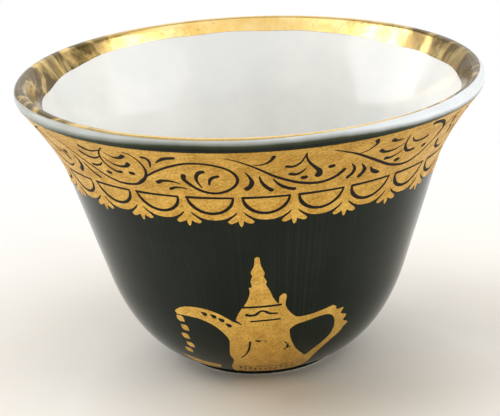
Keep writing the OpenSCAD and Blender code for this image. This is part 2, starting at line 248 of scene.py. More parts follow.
# %% Sliding each vertex of the band to its new place along the wall
ripple, ripples = 0.06, 17
band_run = run_along(band_path)
band_depth = np.maximum.accumulate(cup_h - band_path[:, 1])
both_sides = np.array([band_path, moved(band_path, band_t)])
corners = np.array([v.co for v in band.data.vertices]) / MM
corner_r = np.hypot(corners[:, 0], corners[:, 1])
corner_turn = np.degrees(np.arctan2(corners[:, 0], -corners[:, 1]))
gaps = np.hypot(both_sides[..., 0] - corner_r[:, None, None], both_sides[..., 1] - corners[:, 2, None, None])
side, step = np.divmod(gaps.reshape(len(corners), -1).argmin(1), len(band_path))
edge = np.interp(corner_turn, band_turns, band_heights) + ripple * np.sin(np.radians(corner_turn * ripples))
start = np.interp(corner_turn, band_turns, band_starts)
new_run = start + band_run[step] / band_run[-1] * (np.interp(edge, band_depth, band_run) - start)
new_place = np.array([[np.interp(run, band_run, both_sides[i, :, axis]) for axis in (0, 1)]
                      for run, i in zip(new_run, side)])
for vertex, (r, z), old_r in zip(band.data.vertices, new_place, corner_r):
    vertex.co = Vector((vertex.co.x * r / old_r, vertex.co.y * r / old_r, z * MM))
band.data.update()
print("gold inside the lip:", round(edge.min(), 2), "to", round(edge.max(), 2), "mm high")

# %% [markdown]
# ## Gold ornament as a stencil
# The border and the coffee pot are thin printed gold with lines left open in it. Cutting each line with a
# Boolean modifier would be slow and could fail where strokes cross. A stencil is surer: the gold's outline
# and the strokes are drawn flat, joined by Blender's constrained triangulation, and the triangles that lie
# in a stroke are left out. The flat sheet is then bent round the wall and given its thickness.

# %% Flat places: degrees round the cup and millimetres up it, on a sheet in millimetres
print_end_share = 0.3
wall_path = np.vstack([rising_path[1:], lip_path[1:round(print_end_share * lip_steps)]])
wall_run = run_along(wall_path)
sheet_r = 28.0
line_w = 0.32
stroke_share = 1.12
degree_mm = math.radians(sheet_r)


def wall_radius(z):
    """Outside radius of the glaze at a height."""
    return np.interp(z, wall_path[:, 1], wall_path[:, 0])


def flat(places):
    """[degrees, height] as a point of the sheet."""
    places = np.asarray(places, float)
    return np.column_stack([places[:, 0] * degree_mm, np.interp(places[:, 1], wall_path[:, 1], wall_run)])


def on_wall(sheet):
    """Points of the sheet bent round the wall, in metres."""
    turn = np.radians(sheet[:, 0] / degree_mm)
    r, z = (np.interp(sheet[:, 1], wall_run, wall_path[:, i]) for i in (0, 1))
    return np.column_stack([r * np.sin(turn), -r * np.cos(turn), z]) * MM


def smooth(places, steps=6):
    """A smooth line through all the places of a list."""
    p = np.asarray(places, float)
    p = np.vstack([p[:1], p, p[-1:]])
    t = np.linspace(0, 1, steps, endpoint=False)[:, None]
    parts = [bezier(a, a + (b - before) / 6, b - (after - a) / 6, b, t)
             for before, a, b, after in zip(p, p[1:], p[2:], p[3:])]
    return np.vstack([*parts, p[-1:]])


print("radius at 20 and 40 mm up:", [round(float(wall_radius(z)), 2) for z in (20, 40)])

# %% [markdown]
# ## Brush strokes
# The lines left open in the gold swell and thin as a brush does. A curve with a round bevel would give even
# lines, so a stroke is an outline of its own: a smooth line through a few places, half a width on each side
# of it, and a round tip at each end. The sheet is wider than the wall is round, so the half width is
# stretched to come out true on the cup.

# %% A brush stroke: a line with a list of widths along it and round tips
def brush(places, widths, steps=6):
    """The sheet outline of a stroke through [degrees, height] places."""
    line = smooth(places, steps)
    points = flat(line)
    stretch = wall_radius(line[:, 1]) / sheet_r
    way = np.gradient(points, axis=0)
    way[:, 0] *= stretch
    way /= np.linalg.norm(way, axis=1)[:, None]
    run = np.linspace(0, 1, len(points))
    half = np.interp(run, np.linspace(0, 1, len(widths)), widths) * line_w / 2

    def beside(i, along, across):
        step = way[i] * along + np.array([-way[i, 1], way[i, 0]]) * across
        return points[i] + step * half[i] / [stretch[i], 1]

    last = len(points) - 1
    tip = np.radians([60, 30, 0, -30, -60])
    left = [beside(i, 0, 1) for i in range(last + 1)]
    right = [beside(i, 0, -1) for i in range(last, -1, -1)]
    end = [beside(last, math.cos(a), math.sin(a)) for a in tip]
    start = [beside(0, -math.cos(a), -math.sin(a)) for a in tip]
    return np.array([*left, *end, *right, *start])


print("a short stroke has", len(brush([(0, 30), (2, 31)], (1, 1))), "points")


# %% Which points lie in an outline: lines crossed to the right of them are counted
def inside(points, outline):
    """Which of the points lie inside an outline of the sheet."""
    a, b = outline, np.roll(outline, -1, axis=0)
    x, y = points[:, :1], points[:, 1:]
    rise = b[:, 1] - a[:, 1]
    cross = a[:, 0] + (y - a[:, 1]) * (b[:, 0] - a[:, 0]) / np.where(rise == 0, 1, rise)
    upward = ((a[:, 1] <= y) & (b[:, 1] > y) & (x < cross)).sum(1)
    downward = ((a[:, 1] > y) & (b[:, 1] <= y) & (x < cross)).sum(1)
    return upward != downward


square = np.array([(0, 0), (1, 0), (1, 1), (0, 1)])
print("the middle of a square is inside it:", inside(np.array([(0.5, 0.5)]), square)[0])

# %% Cutting a flat stencil: triangles that lie in an opening are left out
sheet_step = 0.6
sheet_merge = 1e-6


def cut(sheets, openings):
    """Points and triangles of the sheets less their openings."""
    low, high = np.vstack(sheets).min(0), np.vstack(sheets).max(0)
    xs = np.arange(low[0] + sheet_step / 2, high[0], sheet_step)
    ys = np.arange(low[1] + sheet_step / 2, high[1], sheet_step)
    grid = np.array(np.meshgrid(xs, ys)).reshape(2, -1).T
    grid = grid[np.any([inside(grid, s) for s in sheets], axis=0)]
    points, edges = [*grid], []
    for outline in [*sheets, *openings]:
        start, count = len(points), len(outline)
        points.extend(outline)
        edges.extend((start + i, start + (i + 1) % count) for i in range(count))
    corners, _, faces, *_ = delaunay_2d_cdt([Vector(p) for p in points], edges, [], 0, sheet_merge)
    corners = np.array(corners)
    faces = np.array([f for f in faces if len(f) == 3])
    middles = corners[faces].mean(1)
    kept = np.any([inside(middles, s) for s in sheets], axis=0)
    for opening in openings:
        kept &= ~inside(middles, opening)
    return corners, faces[kept]


corners, faces = cut([square * 3], [square + 1])
print("a square with a square window has", len(faces), "triangles")

# %% Bending a stencil round the wall, and giving it the thickness of the gold
gold_film_t = 0.03
film_edge = math.radians(30)


def stencil(name, sheets, openings, copies=1):
    """Thin gold on the wall, cut once and copied round the cup, with the flat sheet kept as its UV map."""
    corners, faces = cut(sheets, openings)
    places = np.vstack([corners + [i * 360 / copies * degree_mm, 0] for i in range(copies)])
    all_faces = np.vstack([faces + len(corners) * i for i in range(copies)])
    mesh = bpy.data.meshes.new(name)
    mesh.from_pydata(on_wall(places).tolist(), [], all_faces.tolist())
    sheet_map = mesh.uv_layers.new(name="sheet")
    sheet_map.data.foreach_set("uv", (places[all_faces.ravel()] * MM).astype(np.float32).ravel())
    piece = bpy.data.objects.new(name, mesh)
    bpy.context.scene.collection.objects.link(piece)
    bpy.ops.object.select_all(action="DESELECT")
    bpy.context.view_layer.objects.active = piece
    piece.select_set(True)
    bpy.ops.object.mode_set(mode="EDIT")
    bpy.ops.mesh.select_all(action="SELECT")
    bpy.ops.mesh.delete_loose()
    bpy.ops.mesh.remove_doubles(threshold=MERGE)
    bpy.ops.mesh.normals_make_consistent(inside=False)
    bpy.ops.object.mode_set(mode="OBJECT")
    film = piece.modifiers.new("film", "SOLIDIFY")
    film.thickness = gold_film_t * MM
    film.offset = 1
    bpy.ops.object.modifier_apply(modifier="film")
    bpy.ops.object.shade_smooth_by_angle(angle=film_edge)
    print(name, len(piece.data.polygons), "faces")
    return piece


print("the gold is", gold_film_t, "mm thick")

# %% [markdown]
# ## The border: half moons, leaf drops and a running scroll
# The border repeats three times round the cup. One third is drawn on a grid of one degree by one millimetre:
# eight half moons hang in a row, a leaf drop hangs between each two, and a scroll with comma leaves runs
# above them. Each stroke is a short list of places with the widths along it, as a brush would make it.

# %% Strokes of the scroll: places, then the widths along the stroke as shares of a plain line
border_top = cup_h - 1.6
scroll_h = 7.5
swag_h = 4.5
scroll_low = border_top - scroll_h
scroll_strokes = [
    ([(-30.5, 6.7), (-28.6, 6.25), (-27.3, 5.3), (-26.8, 4.2), (-27.2, 3.3), (-28.6, 2.3), (-30.8, 1.5),
      (-33.5, 1.15), (-37, 1.1), (-40, 1.45), (-43, 2.2), (-46, 3.25), (-49, 4.4), (-51.5, 5.4),
      (-54, 6.2), (-57, 6.6)], (0.5, 1.2, 1.2, 1, 0.5)),
    ([(-31.5, 1.35), (-28, 2.7), (-25, 3.7), (-22, 4.5), (-19, 5.15), (-15.5, 5.65), (-12, 5.7),
      (-9, 5.4), (-6.5, 4.9), (-4.7, 4.1), (-3.9, 3.1), (-4.6, 2.1), (-6.5, 1.3), (-9, 0.85),
      (-11.5, 0.85), (-14, 1.3), (-16, 2.1), (-17.3, 2.95), (-17.1, 3.6)],
     (0.7, 1.15, 1.15, 1.15, 1.2, 1.3, 2)),
    ([(-45.8, 5.2), (-44, 4.7), (-42, 4.6), (-40, 4.9), (-39, 5.2)], (1.7, 1.2, 0.4)),
    ([(-44.2, 6.3), (-42.6, 5.95), (-41, 5.85), (-39.3, 6.05), (-37.6, 6.35)], (1.8, 1.1, 0.5)),
    ([(-44, 3.3), (-42.5, 3.35), (-41, 3.6), (-39.8, 4.1)], (1.6, 1.1, 0.4)),
    ([(-36.3, 6.85), (-38, 6.1), (-39, 5), (-38.7, 4), (-37.5, 3.3), (-36, 2.95), (-34.8, 3.05)],
     (0.5, 1, 1.2, 1.5)),
    ([(-38, 5.3), (-37, 4.6), (-35.5, 4.15), (-33.5, 4.05), (-31.8, 4.3), (-31, 4.7)], (0.4, 1, 1.4, 2)),
    ([(-36.5, 6.1), (-35.2, 5.6), (-33.8, 5.45), (-32.4, 5.6), (-31.2, 6)], (0.5, 1.2, 1.9)),
    ([(-50.8, 3.9), (-50.3, 3), (-50.8, 2.1), (-52.6, 1.3)], (0.5, 1.9, 1.7)),
    ([(-48.3, 3.1), (-47.5, 2.2), (-46.3, 1.6), (-44.8, 1.15)], (0.6, 1.4, 1.5)),
    ([(-13.2, 1.7), (-14, 2.6), (-14, 3.4), (-13.2, 4.1), (-12.1, 4.35)], (0.5, 1.4, 1.9)),
    ([(-11.1, 2.2), (-10.8, 2.9), (-9.9, 3.4), (-8.7, 3.6)], (0.7, 1.5, 1.5)),
    ([(-24.8, 2.1), (-23.5, 2.45), (-21.5, 2.5), (-20, 2.4), (-18.7, 2.15)], (1.8, 1.2, 0.5)),
    ([(-21.8, 1.2), (-20.5, 1.5), (-19, 1.55), (-17.3, 1.4)], (1.4, 1, 0.5)),
    ([(-26, 6.2), (-25, 6.1), (-24.5, 5.5), (-25, 4.6)], (1.3, 1.5, 0.5)),
    ([(-22.8, 5.5), (-21.5, 6), (-20, 6.35), (-18, 6.5)], (0.6, 1.6, 1.6)),
    ([(-6.3, 6.6), (-4, 6.2), (-1, 5.4), (2, 4.4), (5, 3.35), (8, 2.6), (11, 2), (14, 1.65), (17, 1.55),
      (19.5, 1.8), (21.5, 2.3), (22.8, 3)], (0.4, 0.9, 1.3, 1.4, 1.4, 1.8)),
    ([(0.3, 5.35), (2, 5.4), (3.5, 5.75), (4.4, 6.3), (4.6, 6.6)], (0.5, 1.1, 1.7)),
    ([(7.8, 4.8), (9.2, 4.7), (10.5, 5), (11.4, 5.6), (11.9, 6.5)], (1.5, 1.1, 0.5)),
    ([(12, 6.8), (12.3, 5.9), (13.3, 5), (14.8, 4.2), (16.1, 3.5), (16.1, 2.9)], (0.5, 1, 1.5, 3)),
    ([(8.9, 3.5), (10.2, 3.35), (11.5, 3.6), (12.6, 4.2)], (1.6, 1.4, 0.5)),
    ([(-1.9, 4.15), (-1, 3.4), (-0.5, 2.6), (-0.9, 1.9), (-1.8, 1.5)], (0.4, 1.7, 2.1)),
    ([(1.4, 3.4), (1.9, 2.5), (3, 1.7), (4.4, 1.1)], (0.6, 1.4, 1.8)),
    ([(4.8, 2.9), (5.8, 2.2), (7.2, 1.6), (9, 1.15), (10.3, 1)], (0.5, 1.5, 1.6)),
    ([(18.6, 6.6), (21, 6.15), (25, 5.3), (29, 4.2), (33, 3.1), (37, 2.1), (41, 1.5), (44.5, 1.35),
      (47.5, 1.7), (50.5, 2.6), (53, 3.9), (53.8, 5), (52.3, 6.1), (49.8, 6.8), (46.8, 7)],
     (0.4, 1.1, 1.3, 1.2, 1.1, 1.4, 2.2)),
    ([(25.8, 5.3), (27.6, 5.5), (29, 6.05), (29.5, 6.5), (29, 6.95)], (0.5, 1, 1.9)),
    ([(34.2, 6.3), (35.4, 6), (37.4, 6)], (1.9, 1.4, 0.5)),
    ([(31.8, 5), (33, 4.6), (34.8, 4.45), (37, 4.6), (39, 5.1)], (1.7, 1.3, 0.5)),
    ([(34.7, 3.35), (36.3, 3.25), (38, 3.45), (39.5, 3.95)], (1.8, 1.2, 0.5)),
    ([(39.3, 6.3), (39.5, 5), (40.4, 4.1), (42, 3.5), (44.2, 3.45)], (0.6, 1.4, 1.5)),
    ([(41, 5.7), (42.4, 5), (44.4, 4.7), (46.3, 4.75), (47.4, 4.95)], (0.5, 1.2, 1.6)),
    ([(24.5, 3.8), (25.7, 3), (25.7, 2.2), (24.6, 1.6)], (0.4, 1.6, 1.6)),
    ([(27.6, 3.4), (28.8, 2.6), (29, 2), (28.1, 1.4)], (0.4, 1.9, 1.9)),
    ([(30.8, 2.5), (31.7, 1.9), (33.1, 1.45), (34.2, 1.25)], (0.5, 1.9, 1.4)),
    ([(-57.6, 4.2), (-56, 3.7), (-55.2, 2.8)], (0.5, 1.4, 1.8)),
    ([(-61, 4.7), (-59.7, 4.2), (-59, 3.4)], (0.5, 1.3, 1.7)),
    ([(-64, 3), (-62.5, 1.9), (-59.5, 1.3), (-57, 1.45), (-55, 2)], (1.7, 1.3, 0.5)),
    ([(-67, 4.4), (-66, 5.5), (-64, 6.4), (-61, 6.9)], (0.7, 1.2, 1)),
    ([(-61.2, 4.7), (-61.6, 5.4), (-62.4, 6.2)], (0.5, 1.3, 1.7)),
]
scroll_dots = [(-39.4, 2.5), (-31.5, 3.1), (12.5, 2.7), (19.1, 3.95), (39.3, 2.5), (48.5, 3.4), (-54.4, 4)]
dot_share = 2.1
print(len(scroll_strokes), "scroll strokes")

# %% [markdown]
# ## Half moons and leaf drops
# Under the scroll the gold ends in scallops. Each holds a half moon drawn in open lines, and where two
# scallops meet a small leaf with three points hangs down. One half of the edge is drawn in four stretches
# that meet at corners, and mirrored for the other half.

# %% One half moon with its leaf drop, in degrees from the cusp and millimetres below the scroll
swag_turn = 15
third_turn = 120
cusp_turn = -4
moon_middle = 7.5
moon_half, moon_depth = 6.2, 2.5
moon_shift = -0.4
moon_points = 25
moon_line = (0.9, 1.8, 1.6, 1.4, 1.4, 1.5, 0.9)
moon_top_line = (1.5, 1.25, 1.15)
tip_edge = [(0, 4.5), (0.45, 4.25), (0.75, 3.62)]
lobe_edge = [(0.75, 3.62), (1.6, 3.85), (2.6, 4.02), (3.3, 3.98), (3.7, 3.76)]
slot_edge = [(3.7, 3.76), (3.3, 3.52), (2.5, 3.2), (1.7, 2.88), (1.1, 2.55), (0.9, 2.2)]
scallop_edge = [(0.9, 2.2), (1.9, 2.62), (3, 2.97), (4.4, 3.28), (6, 3.46), (7.5, 3.5)]


def swag_places(points, cusp):
    """Swag points as [degrees, height], seen from a cusp."""
    return [(cusp + u, scroll_low - v) for u, v in points]


def swag_edge(cusp):
    """Lower edge of the gold from one cusp to the next."""
    half = np.vstack([smooth(part)[:-1] for part in (tip_edge, lobe_edge, slot_edge, scallop_edge)])
    other = half[1:][::-1] * [-1, 1] + [2 * moon_middle, 0]
    return swag_places([*half, scallop_edge[-1], *other], cusp)


def swag_openings(cusp):
    """The round and the straight line of a half moon."""
    turns = np.radians(np.linspace(0, 180, moon_points))
    middle = moon_middle + moon_shift
    moon = [(middle - moon_half * math.cos(t), moon_depth * math.sin(t)) for t in turns]
    moon_top = [(middle - moon_half, 0), (middle, 0), (middle + moon_half, 0)]
    return [brush(swag_places(moon, cusp), moon_line, steps=1),
            brush(swag_places(moon_top, cusp), moon_top_line)]


print("the edge from cusp to cusp has", len(swag_edge(0)), "places")

# %% The sheet of one third of the border
top_points, side_points = 60, 26
first_cusp = cusp_turn - 4 * swag_turn
cusps = [first_cusp + i * swag_turn for i in range(third_turn // swag_turn)]
lower_edge = [place for cusp in cusps for place in swag_edge(cusp)]
lower_edge += swag_places(tip_edge[:1], first_cusp + third_turn)
top_edge = [(a, border_top) for a in np.linspace(first_cusp + third_turn, first_cusp, top_points)]
side_heights = np.linspace(scroll_low - swag_h, border_top, side_points)[1:-1]
right_side = [(first_cusp + third_turn, z) for z in side_heights]
left_side = [(first_cusp, z) for z in side_heights[::-1]]
border_sheet = flat(np.array(lower_edge + right_side + top_edge + left_side))
print("a third of the border is", round(np.ptp(border_sheet[:, 0]), 1), "mm long on the sheet")

# %% [markdown]
# ## Cutting the border
# The strokes of the neighbouring thirds reach over the ends of the sheet, so the scroll is laid three times
# and only the strokes that touch the sheet are kept. Both ends of the sheet have the same points, so the
# three copies close to one seamless ring when their doubles are merged.

# %% The openings of the border, and the border itself
border_openings = [opening for cusp in cusps for opening in swag_openings(cusp)]
for shift in (-third_turn, 0, third_turn):
    for places, widths in scroll_strokes:
        stroke = [(u + shift, scroll_low + v) for u, v in places]
        border_openings.append(brush(stroke, [w * stroke_share for w in widths]))
    for u, v in scroll_dots:
        half = dot_share * line_w / 4 / degree_mm
        dot = [(u + shift - half, scroll_low + v), (u + shift + half, scroll_low + v)]
        border_openings.append(brush(dot, (dot_share, dot_share), steps=2))
left_end, right_end = border_sheet[:, 0].min(), border_sheet[:, 0].max()
border_openings = [o for o in border_openings if o[:, 0].max() > left_end and o[:, 0].min() < right_end]
border = stencil("gold_lip_border", [border_sheet], border_openings, copies=3)

# %% [markdown]
# ## The coffee pot
# The pot on the front is the traditional tall pot with a beaked spout. Its outline is drawn in smooth
# stretches that meet at corners, so that the steps of the lid and the teeth of the handle stay crisp.

# %% Outline of the pot, clockwise from the tip of its lid, one list for each smooth stretch
figure_low = 2.3
lid_right = [(0, 20.95), (0.7, 20.7), (1, 19.6), (2.1, 18.4), (1.8, 17.8), (2.7, 17), (2.5, 16.5),
             (3.8, 15.4), (4.8, 14.3), (6.4, 13.25)]
thumb = [(6.8, 13.3), (7, 14.3), (8.2, 14.8), (9.4, 14.5), (9.1, 13), (10.4, 11.9), (13.2, 10.8),
         (17, 10.7), (22, 11), (27.3, 11.5)]
handle = [(28.9, 11.2), (29.6, 10.6), (32.4, 10.6), (31.8, 9.7), (34.6, 9.2), (33.9, 8.3), (36.6, 7.7),
          (35, 7), (34.2, 6.3), (30.5, 5.1), (27, 3.7), (24.8, 2.3)]
base = [(24.4, 1.3), (21.4, -0.2), (14.9, -0.9), (7, -1.15), (-2, -1.2), (-11, -1.15), (-16, -0.8),
        (-16.6, 0.1)]
body_left = [(-15.8, 1.1), (-14.4, 1.9), (-12.9, 3), (-13.7, 4.2), (-12.9, 5.9), (-12.5, 7.2), (-14.6, 8.6),
             (-18, 9.8), (-23, 10.6), (-28.8, 10.8)]
spout = [(-31.6, 10.8), (-32, 11.4), (-28.5, 12.2), (-23.5, 12.45), (-18.5, 12.2), (-14, 11.5),
         (-9.3, 10.3)]
neck = [(-8.8, 10.5), (-8.2, 11.3), (-6.8, 12.3), (-5.3, 13.1), (-3.8, 14.2), (-3, 15.3), (-3.2, 16)]
lid_left = [(-2.1, 16.2), (-2.5, 17.1), (-1.9, 17.9), (-2.3, 18.5), (-1.2, 19.5), (-0.8, 20.8)]
handle_hole = [(11, 8.7), (11.8, 7), (14.5, 5), (18, 3.7), (20.2, 3.1), (23, 4), (26.5, 5.1), (29.2, 6.3),
               (30, 7.7), (29.2, 9.1), (27, 10), (23.5, 10.2), (18, 9.8), (13.4, 9.4), (11, 8.7)]
pot_lines = [
    ([(-6, 12.85), (0, 12.9), (7.4, 13.05)], (1.1, 1.1)),
    ([(-4.6, 11.6), (-3.2, 11.5), (-1.6, 11.6), (-0.6, 11.9), (0.6, 12.2), (2, 12.1), (3.6, 11.75),
      (6.3, 11.7)], (1.6, 1.2, 1.3, 0.9, 1.3, 0.8)),
    ([(-3.3, 10.5), (7.2, 10.7)], (0.9, 0.9)),
    ([(-9.6, 10.6), (-8.4, 10.4), (-7.1, 10)], (1.4, 1.1, 0.6)),
    ([(-4.3, 6.8), (-5, 5.5), (-6.6, 4.4), (-9, 3.6)], (1, 0.9, 0.7)),
]
print(len(pot_lines), "open lines on the pot")

# %% [markdown]
# ## Small marks of the pot
# A row of dashes runs along its base and four leaf marks along its spout. Five drops fall from the spout to a
# small cup, and a few specks on the body are places where the gold is worn off. Each is a very short brush
# stroke, so that it has soft ends.

# %% Places of the small marks
base_line_widths = (0.5, 1, 0.6, 1.1, 0.7, 1, 0.4)
base_line = [(-12.6, 1.7), (-10, 1.35), (-7, 1.5), (-4, 1.2), (-1, 1.4), (2, 1.15), (5, 1.4), (8, 1.2),
             (11, 1.5), (14, 1.5), (17, 1.9)]
base_dashes = [(-11.5, 0.45), (-9.2, 0.2), (-6.6, 0.3), (-4, 0), (-1.2, 0.1), (1.6, -0.05), (4.3, 0.1),
               (7.2, 0), (10, 0.2), (12.8, 0.25), (15.6, 0.5)]
spout_marks = [(-20.4, 11.55), (-17, 11.25), (-14.2, 10.7), (-11.8, 9.85)]
drops = [(-30.7, 10.1), (-30, 8.55), (-31.3, 6.95), (-30.9, 5.3), (-33.6, 4.05)]
drop_widths = (1.3, 3.1, 3.4, 2.8, 1.1)
small_cup = [(-40.8, 2.5), (-35, 2.1), (-29.7, 1.65), (-22, 1.4), (-21.7, 1), (-24, 0.4), (-30, 0.35),
             (-36, 0.9), (-40.8, 2.5)]
worn_marks = [([(9.7, 6.45), (10.4, 6.15)], (0.5, 0.8)), ([(10.9, 5.95), (10.8, 5.4)], (0.9, 1.5)),
              ([(9.4, 5.15), (10.1, 5.05)], (0.5, 0.8)), ([(11.9, 5.5), (12.1, 5.3)], (0.5, 0.5)),
              ([(-2.1, 7.1), (-1, 6.95), (0.1, 7.05)], (0.6, 1.3, 0.5)),
              ([(1.6, 6.9), (2, 6.85)], (0.6, 0.5))]


def lifted(places):
    """Places of the figure as [degrees, height]."""
    return [(u, v + figure_low) for u, v in places]


print(len(drops), "drops fall from the spout")

# %% The pot, its drops and the small cup, cut as one stencil
stretches = [lid_right, thumb, handle, base, body_left, spout, neck, lid_left]
pot_sheet = np.vstack([flat(smooth(lifted(s))) for s in stretches])
drop_sheets = [brush(lifted([(u - 1, v + 0.35), (u, v), (u + 1, v - 0.35)]), drop_widths, steps=5)
               for u, v in drops]
cup_sheet = flat(smooth(lifted(small_cup)))[:-1]
pot_openings = [flat(smooth(lifted(handle_hole)))[:-1]]
pot_openings += [brush(lifted(places), widths) for places, widths in [*pot_lines, *worn_marks]]
pot_openings.append(brush(lifted(base_line), base_line_widths))
pot_openings += [brush(lifted([(u, v), (u + 0.3, v + 0.7)]), (0.4, 0.9), steps=2) for u, v in base_dashes]
pot_openings += [brush(lifted([(u - 0.6, v + 0.15), (u, v), (u + 0.4, v - 0.1)]), (1, 1.7, 2.1), steps=2)
                 for u, v in spout_marks]
figure = stencil("gold_coffee_pot", [pot_sheet, *drop_sheets, cup_sheet], pot_openings)

# %% [markdown]
# ## Finishes
# Fired surfaces are never one flat colour. Each finish below starts from a Principled shader whose even
# values are set on its sockets, and adds only what changes over the surface. The few helpers here keep each
# finish short enough to read as a recipe.

# %% Helpers that set an input, a node and a material
def feed(entry, value):
    """Sets an input to a number, a vector or a colour, or links it to an output."""
    if isinstance(value, bpy.types.NodeSocket):
        entry.id_data.links.new(value, entry)
    elif entry.type == "RGBA":
        entry.default_value = (*value, 1)
    else:
        entry.default_value = value


def dress(node, **values):
    """Sets inputs of a node, or its own settings, by their names."""
    for key, value in values.items():
        entry = node.inputs.get(key.replace("_", " "))
        if entry is None:
            setattr(node, key, value)
        else:
            feed(entry, value)
    return node


def add_node(tree, kind, **values):
    """A new node with its inputs and settings."""
    return dress(tree.nodes.new("ShaderNode" + kind), **values)


def new_material(name, **even):
    """A material and its Principled shader, with the even values on its sockets."""
    material = bpy.data.materials.new(name)
    material.use_nodes = True
    print(name, "starts with", even)
    return material, dress(material.node_tree.nodes["Principled BSDF"], **even)


def vary(shader, **outputs):
    """Links outputs that change over the surface to a shader."""
    dress(shader, **outputs)
    print("what changes over the surface:", list(outputs))


# %% [markdown]
# ## Effects that several finishes share
# Three effects return in most finishes: the slight waviness of a fired surface, spots of any size, and fine
# lines in one direction. Copying their nodes into each material would work, but then a change would have to
# be made in each. So each is a node group with named sockets, built once and placed with its own values.

# %% A helper for groups
def new_group(name, output, kind, **inputs):
    """An empty shader group with one output, and inputs with their defaults."""
    tree = bpy.data.node_groups.new(name, "ShaderNodeTree")
    for title, default in inputs.items():
        input_kind = "NodeSocketVector" if isinstance(default, tuple) else "NodeSocketFloat"
        socket = tree.interface.new_socket(name=title, in_out="INPUT", socket_type=input_kind)
        socket.default_value = default
    tree.interface.new_socket(name=output, in_out="OUTPUT", socket_type="NodeSocket" + kind)
    print("group", name, "with", list(inputs))
    return tree, tree.nodes.new("NodeGroupInput").outputs, tree.nodes.new("NodeGroupOutput").inputs[0]


# %% The waviness of a fired surface
fired_wave, wave_in, wave_out = new_group("fired_wave", "Normal", "Vector", Size=150.0, Height=20 * MICRON)
wave_at = add_node(fired_wave, "TexCoord").outputs["Object"]
wave_noise = add_node(fired_wave, "TexNoise", Vector=wave_at, Scale=wave_in["Size"], Detail=2, Roughness=0.45)
wave_bump = add_node(fired_wave, "Bump", Height=wave_noise.outputs["Fac"], Distance=wave_in["Height"])
feed(wave_out, wave_bump.outputs["Normal"])

# %% Spots: clouds, grain, pinholes or swirls
spots, spots_in, spots_out = new_group("spots", "Mask", "Float", Vector=(0, 0, 0), Size=500.0,
                                       Low=0.4, High=0.6, Swirl=0.0)
spot_noise = add_node(spots, "TexNoise", Vector=spots_in["Vector"], Scale=spots_in["Size"],
                      Distortion=spots_in["Swirl"], Detail=3.0, Roughness=0.55)
spot_range = add_node(spots, "MapRange", interpolation_type="SMOOTHSTEP", Value=spot_noise.outputs["Fac"],
                      From_Min=spots_in["Low"], From_Max=spots_in["High"])
feed(spots_out, spot_range.outputs["Result"])

# %% Fine lines: noise that is turned, and then stretched along one direction
scratches, scratches_in, scratches_out = new_group(
    "scratches", "Mask", "Float", Vector=(0, 0, 0), Turn=(0, 0, 0), Scale=(300, 6000, 1), Low=0.6, High=0.7)
turned_map = add_node(scratches, "Mapping", Vector=scratches_in["Vector"], Rotation=scratches_in["Turn"])
long_map = add_node(scratches, "Mapping", Vector=turned_map.outputs["Vector"], Scale=scratches_in["Scale"])
scratch_noise = add_node(scratches, "TexNoise", Vector=long_map.outputs["Vector"], Scale=1.0, Detail=2.0)
scratch_range = add_node(scratches, "MapRange", Value=scratch_noise.outputs["Fac"],
                         From_Min=scratches_in["Low"], From_Max=scratches_in["High"])
feed(scratches_out, scratch_range.outputs["Result"])


# %% Helpers for places, masks, mixes and ranges
def coordinates(node, kind="Object"):
    """Where a point lies: on the object, or on its flat map."""
    return add_node(node.id_data, "TexCoord").outputs[kind]


def axis(node, letter):
    """One of a point's coordinates on the object."""
    return add_node(node.id_data, "SeparateXYZ", Vector=coordinates(node)).outputs[letter]


def mask(vector, group=spots, **values):
    """The mask of a shared effect at a coordinate output."""
    return add_node(vector.id_data, "Group", node_tree=group, Vector=vector, **values).outputs["Mask"]


def mixed(factor, a, b):
    """Two colours or outputs mixed by a factor output."""
    node = add_node(factor.id_data, "Mix", data_type="RGBA")
    for place, value in zip((0, 6, 7), (factor, a, b)):
        feed(node.inputs[place], value)
    return node.outputs[2]


def ranged(value, low, high, from_low=0.0, from_high=1.0):
    """An output spread over a new range."""
    return add_node(value.id_data, "MapRange", Value=value, From_Min=from_low, From_Max=from_high,
                    To_Min=low, To_Max=high).outputs["Result"]


# %% Helpers for sums, bumps and waves
def total(*values, operation="ADD"):
    """An output joined with more outputs or numbers by a math operation."""
    result = values[0]
    for value in values[1:]:
        node = add_node(result.id_data, "Math", operation=operation)
        feed(node.inputs[0], result)
        feed(node.inputs[1], value)
        result = node.outputs[0]
    return result


def times(*values):
    """The product of outputs or numbers."""
    return total(*values, operation="MULTIPLY")


def placed(vector, operation, other=(0, 0, 0)):
    """A place changed by a vector operation, or its distance from another."""
    node = add_node(vector.id_data, "VectorMath", operation=operation)
    feed(node.inputs[0], vector)
    feed(node.inputs[1], other)
    return node.outputs["Value" if operation == "DISTANCE" else "Vector"]


def bump(shader, height):
    """A bump on the shader from a height output in metres."""
    node = add_node(shader.id_data, "Bump", Distance=1.0, Strength=1.0, Height=height)
    dress(shader, Normal=node.outputs["Normal"])


def wavy(shader, **values):
    """The waviness of a fired surface on the shader."""
    node = add_node(shader.id_data, "Group", node_tree=fired_wave, **values)
    dress(shader, Normal=node.outputs["Normal"])


print("shared effects:", [g.name for g in bpy.data.node_groups])

# %% [markdown]
# ## Bare porcelain
# The foot ring is unglazed porcelain: fine, dry and slightly stained where it has stood on trays. A plain
# rough white would look like paper, so a fine grain changes the roughness and raises tiny bumps, and wide
# faint stains change the colour.

# %% The bare ring under the foot
bare, bare_shader = new_material("bare_porcelain")
bare_at = coordinates(bare_shader)
bare_grain = mask(bare_at, Size=3500, Low=0.3, High=0.7)
bare_stain = mask(bare_at, Size=260, Low=0.5, High=0.75)
vary(bare_shader, Base_Color=mixed(bare_stain, (0.74, 0.73, 0.69), (0.6, 0.57, 0.51)),
     Roughness=ranged(bare_grain, 0.5, 0.7))
bump(bare_shader, times(bare_grain, 10 * MICRON))

